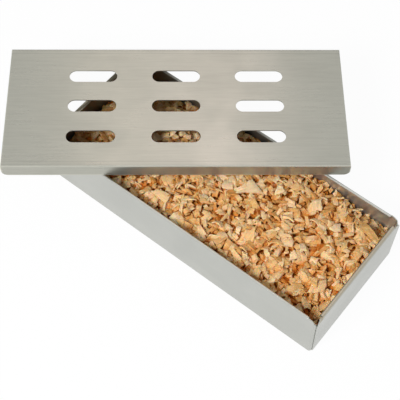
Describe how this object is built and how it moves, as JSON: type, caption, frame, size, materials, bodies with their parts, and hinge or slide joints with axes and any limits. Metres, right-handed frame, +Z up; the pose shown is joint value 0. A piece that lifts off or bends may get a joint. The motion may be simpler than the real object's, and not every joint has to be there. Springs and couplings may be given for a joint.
{
  "type": "smoker box",
  "caption": "Folded sheet-metal smoker box: an open tray filled with wood chips and a slotted lid resting askew across its rim.",
  "frame": {"origin": "middle of the tray's underside, which stands on the ground or the grill", "axes": "+Z up; +X along the lid's long side, to the right as seen from the front; +Y to the back, under the lid; the tray's long side is turned 38.8 degrees clockwise from +X"},
  "size_m": [0.2379, 0.1944, 0.0486],
  "materials": {
    "tray_steel": "matt stainless steel sheet",
    "lid_steel": "stainless steel sheet, brushed along its length",
    "packed_chips": "raw wood chips, in shade",
    "loose_chips": "raw pale wood chips"
  },
  "bodies": {
    "tray": {"tray": "tray_steel", "chip_bed": "packed_chips", "flakes": "loose_chips", "shavings": "loose_chips", "splinters": "loose_chips", "chunks": "loose_chips"},
    "lid": {"lid": "lid_steel"}
  },
  "joints": [
    {"name": "lid_lift", "type": "slide", "parent": "tray", "child": "lid", "axis": [0, 0, 1], "range_m": [0, 0.1]}
  ]
}
